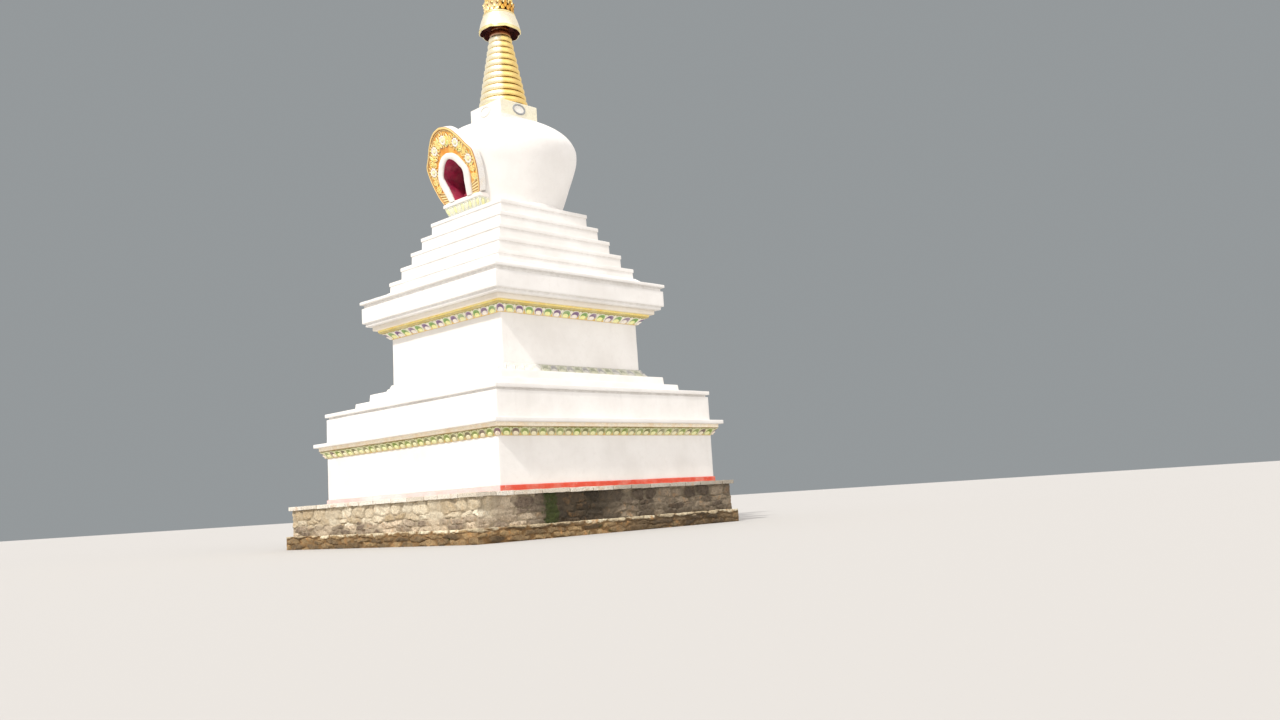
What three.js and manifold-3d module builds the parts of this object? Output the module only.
// Whitewashed masonry stupa with painted lotus friezes, a niche in the dome and a gilded spire.
// Millimetres, +Z up. The origin is the centre of the plinth's foot, on the ground.
// The front, with the niche, faces -Y. Heights below are taken from the top of the plinth.
import * as THREE from 'three';
import { mergeVertices } from 'three/addons/utils/BufferGeometryUtils.js';
import Module from 'manifold-3d';

const wasm = await Module();
wasm.setup();

// Driving dimensions: plinth of rough stone under a coping of thin slabs
const PLINTH_TOP = 760;
const COPING_THICK = 65;
const FOOTING_TOP = -525;
const LEDGE_SIDE = 220;
const LEDGE_FRONT = 620;
const COPING_OVERHANG = 40;
const FOOTING_OUT = 90;

// Lower storey: half widths and heights of the square courses
const WALL_HALF = 2500;
const RED_BASE = { half: 2522, top: 85 };
const LOWER_WALL_TOP = 838;
const LOWER_FRIEZE = { footOut: 6, half: 2590, top: 964 };
const LOWER_FILLET = { half: 2614, top: 1040, rollBack: 12, rollHeight: 20 };
const LOWER_SLAB = { half: 2680, top: 1110 };
const LOWER_PARAPET = { batter: 4, top: 1552 };
const LOWER_NECK = { half: 2468, top: 1587 };
const LOWER_LIP = { half: 2522, top: 1657 };
const TERRACE_STEPS = [
  { bottomHalf: 2130, topHalf: 2114, top: 1812 },
  { bottomHalf: 1938, topHalf: 1924, top: 1970 },
];

// Upper storey
const BASE_BAND = { half: 1728, topOut: 12, top: 2127 };
const UPPER_WALL = { bottomHalf: 1614, topHalf: 1608, top: 2976 };
const UPPER_FRIEZE = { footOut: 8, half: 1737, top: 3098 };
const UPPER_FILLET = { half: 1800, top: 3158, rollBack: 24, rollHeight: 20 };
const BED_COURSE = { half: 1868, top: 3240 };
const FASCIA = { footHalf: 1958, footTop: 3300, half: 2002, top: 3590 };
const UPPER_NECK = { half: 1966, top: 3656 };
const UPPER_LIP = { half: 2026, top: 3714 };
const MORTAR_SLOPE = { bottomHalf: 1830, topHalf: 1640, top: 3862 };

// Square steps under the dome
const STEP_HALVES = [1628, 1474, 1332, 1190, 1050];
const FIRST_STEP_TOP = 4050;
const STEP_RISE = 275;
const STEP_BATTER = 6;
const NOSING_THICK = 70;
const NOSING_OUT = 14;

// Dome, an inverted bell with a round shoulder, on a low round seat
const SEAT_RADIUS = 1016;
const SEAT_HEIGHT = 60;
const DOME_FOOT_RADIUS = 1004;
const DOME_CURVE = [
  [1048, 5340], [1100, 5480], [1176, 5700], [1250, 5900], [1318, 6110], [1346, 6300],
  [1322, 6430], [1250, 6556], [1140, 6668], [975, 6776], [820, 6850],
];
const DOME_TOP = { radius: 690, height: 6896 };
const DOME_SIDES = 48;
const DOME_BANDS = 16;

// Niche: its face leans out with the dome above it
const NICHE_FOOT = 5390;
const NICHE_OUT_AT_FOOT = 1090;
const NICHE_LEAN = Math.atan(0.365);
const NICHE_DEPTH = 460;
const BOX_WALL = 45;
const BOX_FLOOR = 30;
const INNER_FRAME_PROUD = 28;
const OUTER_FRAME_THICK = 150;
// Half outlines of the opening and of both frames: half width and height above the niche's foot
const OPENING_HALF_OUTLINE = [
  [195, 0], [218, 115], [240, 220], [268, 310], [292, 410], [272, 475], [228, 535], [184, 592],
  [124, 645], [50, 682],
];
const INNER_HALF_OUTLINE = [
  [330, 0], [365, 100], [400, 200], [434, 300], [442, 385], [420, 470], [335, 605], [250, 700],
  [150, 762], [50, 786],
];
const OUTER_HALF_OUTLINE = [
  [528, 0], [588, 107], [632, 235], [672, 395], [688, 549], [678, 690], [626, 762], [566, 826],
  [494, 922], [428, 1005], [362, 1072], [292, 1138], [172, 1204], [50, 1233],
];
const SILL = { half: 540, thick: 82, out: 26 };
const LOTUS_BASE = { topHalf: 526, bottomHalf: 474, lean: Math.atan(0.36) };

// Seated figure on a lotus seat in the niche; the figure's parts are egg shapes
const LOTUS_SEAT = { half: 148, depth: 112, thick: 64 };
const SEAT_PROFILE = [[0.88, 0], [1, 0.25], [0.86, 0.5], [1, 0.75], [0.92, 1]];
const FIGURE_Y = -850;
const FIGURE_PARTS = [
  { at: [0, -8, 46], size: [138, 104, 52] },
  { at: [0, 6, 170], size: [78, 60, 128] },
  { at: [0, 10, 246], size: [104, 54, 52] },
  { at: [-92, -8, 160], size: [32, 40, 100] },
  { at: [92, -8, 160], size: [32, 40, 100] },
  { at: [0, -64, 84], size: [70, 34, 26] },
  { at: [0, 2, 316], size: [27, 29, 44] },
  { at: [0, 0, 364], size: [48, 54, 60] },
  { at: [0, 8, 424], size: [22, 22, 24] },
];
const EGG_SIDES = [12, 8];

// Square box over the dome, with a raised oval ring on each side
const HARMIKA = { half: 451, top: 7318 };
const HARMIKA_RING = { halfWidth: 150, halfHeight: 103, bar: 22, proud: 12, height: 7184 };

// Spire of thirteen rings; the rim is given as shares of the ring's radius and pitch
const RING_COUNT = 13;
const RING_PITCH = 130;
const RING_FOOT_RADIUS = 462;
const RING_SHRINK = 23.6;
const RING_WAIST = 0.87;
const RING_SIDES = 24;
const RING_RIM = [[RING_WAIST, 0], [0.99, 0.24], [0.99, 0.7], [RING_WAIST - 0.03, 1]];

// Parasol, crown and finial
const PARASOL_RIM = { radius: 398, height: 8830 };
const PARASOL_SHOULDER = { radius: 300, height: 9196 };
const PARASOL_WALL = 14;
const PARASOL_BULGE = [[399, 8880], [385, 8960], [357, 9060], [330, 9130]];
const PARASOL_LOBES = { count: 8, inShare: 0.05, lift: 24, sides: 48 };
const CROWN = { radius: 308, waist: 276, footIn: 14, footRise: 30, topIn: 16, topDrop: 20, top: 9430 };
const VASE_CURVE = [
  [236, 9430], [262, 9470], [266, 9530], [238, 9610], [176, 9680], [120, 9720], [104, 9750],
];
const FINIAL_LOTUS = { footRadius: 86, radius: 172, petalRise: 40, topRadius: 155, top: 9822 };
const MOON = { radius: 190, inner: 168, lift: 62, thick: 46, centre: 10006 };
const SUN = { radius: 118, thick: 60 };
const JEWEL_CURVE = [[34, -20], [58, 30], [62, 70], [46, 130], [24, 200], [10, 260]];
const JEWEL_HEIGHT = 294;
const FINIAL_SIDES = 24;

// A cut piece keeps this gap to its neighbour
const GAP = 0.3;
// Cutting blocks reach this far
const FAR = 3000;

const WHITE = { color: 0xeee8e2, roughness: 0.88, metalness: 0 };
const STONE = { color: 0x8a8272, roughness: 0.95, metalness: 0 };
const SLAB_STONE = { color: 0xcfc6b4, roughness: 0.9, metalness: 0 };
const RED = { color: 0xc2463a, roughness: 0.8, metalness: 0 };
const PETAL_GREEN = { color: 0x8fa860, roughness: 0.75, metalness: 0 };
const GOLD_PAINT = { color: 0xe8b24a, roughness: 0.6, metalness: 0 };
const BEIGE = { color: 0xe6d3b4, roughness: 0.85, metalness: 0 };
const CRIMSON = { color: 0x7c1236, roughness: 0.8, metalness: 0 };
const GILT = { color: 0xf0c862, roughness: 0.32, metalness: 0.9 };
const GILT_DARK = { color: 0xc98a34, roughness: 0.45, metalness: 0.8 };

const stupa = new THREE.Group();

function addPiece(name, geometry, look) {
  const mesh = new THREE.Mesh(geometry, new THREE.MeshStandardMaterial(look));
  mesh.name = name;
  mesh.position.z = PLINTH_TOP;
  stupa.add(mesh);
  return mesh;
}

// Solid of revolution about Z from [radius, height] pairs that start and end on the axis
function turned(pairs, sides, start = 0) {
  const points = pairs.map(([radius, height]) => new THREE.Vector2(radius, height));
  return new THREE.LatheGeometry(points, sides, start).rotateX(Math.PI / 2);
}

// Square-plan solid from [half width, height] pairs: a turned solid with four sides
function squareCourse(pairs) {
  const corners = pairs.map(([half, height]) => [half * Math.SQRT2, height]);
  const closed = [[0, corners[0][1]], ...corners, [0, corners.at(-1)[1]]];
  return turned(closed, 4, Math.PI / 4);
}

// Fillet that starts a little further in and rolls out to its full width
function fillet({ half, top, rollBack, rollHeight }, foot) {
  return squareCourse([[half - rollBack, foot], [half, foot + rollHeight], [half, top]]);
}

// Thin lip slab with the recessed neck under it
function lipOnNeck(lip, neck, foot) {
  const neckSide = [[neck.half, foot], [neck.half, neck.top]];
  return squareCourse([...neckSide, [lip.half, neck.top], [lip.half, lip.top]]);
}

// Solid of a closed outline in the X-Z plane, carried from y = front to y = back
function carriedBack(outline, front, back) {
  const shape = new THREE.Shape(outline.map(([x, z]) => new THREE.Vector2(x, z)));
  const geometry = new THREE.ExtrudeGeometry(shape, { depth: back - front, bevelEnabled: false });
  return geometry.rotateX(Math.PI / 2).translate(0, back, 0);
}

function bothSides(halfOutline) {
  const left = halfOutline.map(([x, z]) => [-x, z]).reverse();
  return [...halfOutline, ...left];
}

function toSolid(geometry) {
  const bare = geometry.clone();
  bare.deleteAttribute('normal');
  bare.deleteAttribute('uv');
  const merged = mergeVertices(bare, 1e-3);
  const index = [];
  const source = merged.index.array;
  for (let i = 0; i < source.length; i += 3) {
    const [a, b, c] = [source[i], source[i + 1], source[i + 2]];
    if (a !== b && b !== c && a !== c) index.push(a, b, c);
  }
  return new wasm.Manifold(new wasm.Mesh({
    numProp: 3,
    vertProperties: new Float32Array(merged.attributes.position.array),
    triVerts: new Uint32Array(index),
  }));
}

function toGeometry(solid) {
  const mesh = solid.getMesh();
  const geometry = new THREE.BufferGeometry();
  geometry.setAttribute('position', new THREE.BufferAttribute(mesh.vertProperties, 3));
  geometry.setIndex(new THREE.BufferAttribute(mesh.triVerts, 1));
  return geometry;
}

// A block between two corners
function block(low, high) {
  const size = high.map((value, axis) => value - low[axis]);
  const middle = high.map((value, axis) => (value + low[axis]) / 2);
  return new THREE.BoxGeometry(...size).translate(...middle);
}

// Plinth: a footing, a body of rough stone and a coping, deeper in front of the niche side
function plinthBlock(out, bottom, top) {
  const side = WALL_HALF + LEDGE_SIDE + out;
  const front = WALL_HALF + LEDGE_FRONT + out;
  return block([-side, -front, bottom], [side, side, top]);
}

addPiece('plinth_footing', plinthBlock(FOOTING_OUT, -PLINTH_TOP, FOOTING_TOP), STONE);
addPiece('plinth_body', plinthBlock(0, FOOTING_TOP, -COPING_THICK), STONE);
addPiece('plinth_coping', plinthBlock(COPING_OVERHANG, -COPING_THICK, 0), SLAB_STONE);

// Lower storey
addPiece('red_base_course', squareCourse([[RED_BASE.half, 0], [RED_BASE.half, RED_BASE.top]]), RED);
addPiece('lower_wall', squareCourse([[WALL_HALF, RED_BASE.top], [WALL_HALF, LOWER_WALL_TOP]]), WHITE);
addPiece('lower_lotus_frieze', squareCourse([
  [WALL_HALF + LOWER_FRIEZE.footOut, LOWER_WALL_TOP], [LOWER_FRIEZE.half, LOWER_FRIEZE.top],
]), PETAL_GREEN);
addPiece('lower_gold_fillet', fillet(LOWER_FILLET, LOWER_FRIEZE.top), GOLD_PAINT);
addPiece('lower_projecting_slab', squareCourse([
  [LOWER_SLAB.half, LOWER_FILLET.top], [LOWER_SLAB.half, LOWER_SLAB.top],
]), WHITE);
addPiece('lower_parapet', squareCourse([
  [WALL_HALF + LOWER_PARAPET.batter, LOWER_SLAB.top], [WALL_HALF, LOWER_PARAPET.top],
]), WHITE);
addPiece('lower_lip', lipOnNeck(LOWER_LIP, LOWER_NECK, LOWER_PARAPET.top), WHITE);

let terraceFoot = LOWER_LIP.top;
TERRACE_STEPS.forEach(({ bottomHalf, topHalf, top }, index) => {
  addPiece(`terrace_step_${index + 1}`, squareCourse([[bottomHalf, terraceFoot], [topHalf, top]]), WHITE);
  terraceFoot = top;
});

// Upper storey
addPiece('upper_base_lotus_band', squareCourse([
  [BASE_BAND.half, terraceFoot], [UPPER_WALL.bottomHalf + BASE_BAND.topOut, BASE_BAND.top],
]), PETAL_GREEN);
addPiece('upper_wall', squareCourse([
  [UPPER_WALL.bottomHalf, BASE_BAND.top], [UPPER_WALL.topHalf, UPPER_WALL.top],
]), WHITE);
addPiece('upper_lotus_frieze', squareCourse([
  [UPPER_WALL.topHalf + UPPER_FRIEZE.footOut, UPPER_WALL.top], [UPPER_FRIEZE.half, UPPER_FRIEZE.top],
]), PETAL_GREEN);
addPiece('upper_gold_fillet', fillet(UPPER_FILLET, UPPER_FRIEZE.top), GOLD_PAINT);
addPiece('upper_bed_course', squareCourse([
  [BED_COURSE.half, UPPER_FILLET.top], [BED_COURSE.half, BED_COURSE.top],
]), BEIGE);
addPiece('upper_fascia', squareCourse([
  [FASCIA.footHalf, BED_COURSE.top], [FASCIA.footHalf, FASCIA.footTop],
  [FASCIA.half, FASCIA.footTop], [FASCIA.half, FASCIA.top],
]), WHITE);
addPiece('upper_lip', lipOnNeck(UPPER_LIP, UPPER_NECK, FASCIA.top), WHITE);
addPiece('upper_mortar_slope', squareCourse([
  [MORTAR_SLOPE.bottomHalf, UPPER_LIP.top], [MORTAR_SLOPE.topHalf, MORTAR_SLOPE.top],
]), WHITE);

// Square steps, each with a thin nosing at its top
let stepFoot = MORTAR_SLOPE.top;
STEP_HALVES.forEach((half, index) => {
  const top = FIRST_STEP_TOP + index * STEP_RISE;
  const nosingFoot = top - NOSING_THICK;
  addPiece(`step_${index + 1}`, squareCourse([
    [half + STEP_BATTER - NOSING_OUT, stepFoot], [half - NOSING_OUT, nosingFoot],
    [half, nosingFoot], [half, top],
  ]), WHITE);
  stepFoot = top;
});
const STEPS_TOP = stepFoot;
const SEAT_TOP = STEPS_TOP + SEAT_HEIGHT;

// Dome
const domeCurve = new THREE.SplineCurve(
  [[DOME_FOOT_RADIUS, SEAT_TOP], ...DOME_CURVE, [DOME_TOP.radius, DOME_TOP.height]]
    .map(([radius, height]) => new THREE.Vector2(radius, height)),
);
const domeProfile = [
  [0, SEAT_TOP],
  ...domeCurve.getPoints(DOME_BANDS).map((point) => [point.x, point.y]),
  [0, DOME_TOP.height],
];
const domeSolid = toSolid(turned(domeProfile, DOME_SIDES));
const domeWithGap = toSolid(turned(
  domeProfile.map(([radius, height]) => [radius > 0 ? radius + GAP : 0, height]), DOME_SIDES,
));

// Niche outlines, from half outlines whose heights start at the niche's foot
const raised = (outline) => bothSides(outline).map(([x, z]) => [x, z + NICHE_FOOT]);
const RECESS_BACK = -(NICHE_OUT_AT_FOOT - NICHE_DEPTH);

// Outline moved out by `by` at its sides and, more and more upwards, at its top, with its foot lowered
function widened(outline, by, drop) {
  const last = outline.length - 1;
  return outline.map(([x, z], index) => [x + by, index === 0 ? z - drop : z + by * index / last]);
}

// Everything behind a leaning plane that stands out by `out` from the niche's face at its foot
function behindFace(out, lean = NICHE_LEAN, foot = NICHE_FOOT) {
  const slab = block([-FAR, -out, -FAR], [FAR, FAR, FAR]);
  slab.rotateX(lean).translate(0, -NICHE_OUT_AT_FOOT, foot);
  return toSolid(slab);
}

const opening = toSolid(carriedBack(raised(OPENING_HALF_OUTLINE), -FAR, RECESS_BACK - BOX_WALL));
const boxOutline = widened(OPENING_HALF_OUTLINE, BOX_WALL, BOX_FLOOR);
const boxHull = toSolid(carriedBack(raised(boxOutline), -FAR, RECESS_BACK));
const boxRoom = toSolid(carriedBack(
  raised(widened(OPENING_HALF_OUTLINE, BOX_WALL + GAP, BOX_FLOOR + GAP)), -FAR, RECESS_BACK + GAP,
));
const nicheBox = boxHull.intersect(behindFace(0)).subtract(opening);
addPiece('dome_seat', turned([
  [0, STEPS_TOP], [SEAT_RADIUS, STEPS_TOP], [SEAT_RADIUS, SEAT_TOP], [0, SEAT_TOP],
], DOME_SIDES), WHITE);
addPiece('dome', toGeometry(domeSolid.subtract(boxRoom)), WHITE);
addPiece('niche_box', toGeometry(nicheBox), CRIMSON);

// Frames round the opening: the outer one is seated on the dome, the inner one on the outer one
const backOfOuterFrame = behindFace(-OUTER_FRAME_THICK);
const outerFrame = toSolid(carriedBack(raised(OUTER_HALF_OUTLINE), -FAR, 0))
  .intersect(behindFace(0)).subtract(backOfOuterFrame).subtract(domeWithGap).subtract(boxRoom);
addPiece('niche_frame', toGeometry(outerFrame), GILT_DARK);
const innerFrame = toSolid(carriedBack(raised(INNER_HALF_OUTLINE), -FAR, 0))
  .intersect(behindFace(INNER_FRAME_PROUD)).subtract(behindFace(GAP)).subtract(opening);
addPiece('niche_inner_frame', toGeometry(innerFrame), WHITE);

// Sill slab and the lotus base that carries it
const SILL_TOP = NICHE_FOOT - GAP;
const SILL_FOOT = NICHE_FOOT - SILL.thick;
const sillBlock = toSolid(block(
  [-SILL.half, -NICHE_OUT_AT_FOOT - SILL.out, SILL_FOOT], [SILL.half, RECESS_BACK, SILL_TOP],
));
addPiece('niche_sill', toGeometry(sillBlock.subtract(domeWithGap).subtract(boxRoom)), WHITE);
const seatWithGap = toSolid(turned([
  [0, STEPS_TOP - GAP], [SEAT_RADIUS + GAP, STEPS_TOP - GAP], [SEAT_RADIUS + GAP, SEAT_TOP], [0, SEAT_TOP],
], DOME_SIDES));
const lotusOutline = [
  [LOTUS_BASE.bottomHalf, STEPS_TOP], [LOTUS_BASE.topHalf, SILL_FOOT],
  [-LOTUS_BASE.topHalf, SILL_FOOT], [-LOTUS_BASE.bottomHalf, STEPS_TOP],
];
const lotusBase = toSolid(carriedBack(lotusOutline, -FAR, RECESS_BACK))
  .intersect(behindFace(0, LOTUS_BASE.lean, SILL_FOOT)).subtract(domeWithGap).subtract(seatWithGap);
addPiece('niche_lotus_base', toGeometry(lotusBase), PETAL_GREEN);

// Lotus seat and seated figure
const seatDrum = turned([[0, 0], ...SEAT_PROFILE, [0, 1]], FINIAL_SIDES)
  .scale(LOTUS_SEAT.half, LOTUS_SEAT.depth, LOTUS_SEAT.thick);
addPiece('niche_lotus_seat', seatDrum.translate(0, FIGURE_Y, NICHE_FOOT + GAP), WHITE);

function egg({ at, size }) {
  return toSolid(new THREE.SphereGeometry(1, ...EGG_SIDES).scale(...size).translate(...at));
}

const figureFoot = NICHE_FOOT + LOTUS_SEAT.thick + 2 * GAP;
const aboveSeat = toSolid(block([-FAR, -FAR, 0], [FAR, FAR, FAR]));
const figure = FIGURE_PARTS.map(egg).reduce((whole, part) => whole.add(part)).intersect(aboveSeat);
addPiece('niche_figure', toGeometry(figure).translate(0, FIGURE_Y, figureFoot), CRIMSON);

// Harmika: a square box with a raised oval ring on each side
function sideRing(quarter) {
  const { halfWidth, halfHeight, bar, proud, height } = HARMIKA_RING;
  const inside = halfHeight - bar;
  const section = [[inside, -proud], [halfHeight, -proud], [halfHeight, proud], [inside, proud]];
  const points = [...section, section[0]].map(([radius, lift]) => new THREE.Vector2(radius, lift));
  const ring = new THREE.LatheGeometry(points, FINIAL_SIDES);
  ring.scale(halfWidth / halfHeight, 1, 1).translate(0, -HARMIKA.half, 0);
  return toSolid(ring.rotateZ(quarter * Math.PI / 2).translate(0, 0, height));
}

const harmikaBox = toSolid(squareCourse([[HARMIKA.half, DOME_TOP.height], [HARMIKA.half, HARMIKA.top]]));
const harmika = [0, 1, 2, 3].map(sideRing).reduce((whole, ring) => whole.add(ring), harmikaBox);
addPiece('harmika', toGeometry(harmika), WHITE);

// Spire: rings with round rims, each a little smaller than the one below
for (let index = 0; index < RING_COUNT; index += 1) {
  const foot = HARMIKA.top + index * RING_PITCH;
  const radius = RING_FOOT_RADIUS - index * RING_SHRINK;
  const pairs = RING_RIM.map(([share, lift]) => [radius * share, foot + RING_PITCH * lift]);
  const ring = turned([[0, foot], ...pairs, [0, foot + RING_PITCH]], RING_SIDES);
  addPiece(`spire_ring_${String(index + 1).padStart(2, '0')}`, ring, GILT);
}
const RINGS_TOP = HARMIKA.top + RING_COUNT * RING_PITCH;

// Parasol: a bell over the last ring, open below, with a lobed rim. Between two lobes the wall is drawn
// in and its edge raised, in full at the rim and not at all at the height of the last ring's top
function lobed(geometry) {
  const { count, inShare, lift } = PARASOL_LOBES;
  const places = geometry.attributes.position;
  for (let i = 0; i < places.count; i += 1) {
    const [x, y, z] = [places.getX(i), places.getY(i), places.getZ(i)];
    const down = Math.max(0, (RINGS_TOP - z) / (RINGS_TOP - PARASOL_RIM.height));
    const between = down * (1 - Math.abs(Math.cos(Math.atan2(y, x) * count / 2)));
    const share = 1 - inShare * between;
    places.setXYZ(i, x * share, y * share, z + lift * between);
  }
  return geometry;
}

const bellOutside = [[PARASOL_RIM.radius, PARASOL_RIM.height], ...PARASOL_BULGE,
  [PARASOL_SHOULDER.radius, PARASOL_SHOULDER.height]];
const bellInside = bellOutside.filter(([, height]) => height < RINGS_TOP)
  .map(([radius, height]) => [radius - PARASOL_WALL, height]).reverse();
const ceilingRadius = bellInside[0][0] - PARASOL_WALL;
addPiece('parasol', lobed(turned([
  [0, RINGS_TOP], [ceilingRadius, RINGS_TOP], ...bellInside, ...bellOutside, [0, PARASOL_SHOULDER.height],
], PARASOL_LOBES.sides)), GILT);

// Crown, vase and lotus over the parasol
const crownFoot = PARASOL_SHOULDER.height;
const crownMiddle = (crownFoot + CROWN.top) / 2;
addPiece('parasol_crown', turned([
  [0, crownFoot], [CROWN.radius - CROWN.footIn, crownFoot], [CROWN.radius, crownFoot + CROWN.footRise],
  [CROWN.waist, crownMiddle], [CROWN.radius, CROWN.top - CROWN.topDrop],
  [CROWN.radius - CROWN.topIn, CROWN.top], [0, CROWN.top],
], RING_SIDES), GILT_DARK);
const vaseTop = VASE_CURVE.at(-1)[1];
addPiece('finial_vase', turned([[0, CROWN.top], ...VASE_CURVE, [0, vaseTop]], FINIAL_SIDES), GILT);
addPiece('finial_lotus', turned([
  [0, vaseTop], [FINIAL_LOTUS.footRadius, vaseTop], [FINIAL_LOTUS.radius, vaseTop + FINIAL_LOTUS.petalRise],
  [FINIAL_LOTUS.topRadius, FINIAL_LOTUS.top], [0, FINIAL_LOTUS.top],
], FINIAL_SIDES), GILT);

// A disc that faces the front
function frontDisc(radius, thick, height) {
  const disc = new THREE.CylinderGeometry(radius, radius, thick, 2 * FINIAL_SIDES);
  return toSolid(disc.translate(0, 0, height));
}

// Crescent moon, sun disc and flame jewel
const aboveLotus = toSolid(block(
  [-FAR, -FAR, FINIAL_LOTUS.top], [FAR, FAR, FINIAL_LOTUS.top + FAR],
));
const moonDisc = frontDisc(MOON.radius, MOON.thick, MOON.centre);
const moonCut = frontDisc(MOON.inner, 2 * MOON.thick, MOON.centre + MOON.lift);
addPiece('finial_moon', toGeometry(moonDisc.subtract(moonCut).intersect(aboveLotus)), GILT);
const sunCentre = MOON.centre + MOON.lift - MOON.inner + SUN.radius + GAP;
addPiece('finial_sun', toGeometry(frontDisc(SUN.radius, SUN.thick, sunCentre)), GILT);
const jewelFoot = sunCentre + SUN.radius;
const jewelPairs = JEWEL_CURVE.map(([radius, height]) => [radius, jewelFoot + height]);
const jewel = toSolid(turned([
  [0, jewelPairs[0][1]], ...jewelPairs, [0, jewelFoot + JEWEL_HEIGHT],
], FINIAL_SIDES)).subtract(frontDisc(SUN.radius + GAP, 4 * SUN.thick, sunCentre));
addPiece('finial_jewel', toGeometry(jewel), GILT);

export default stupa;
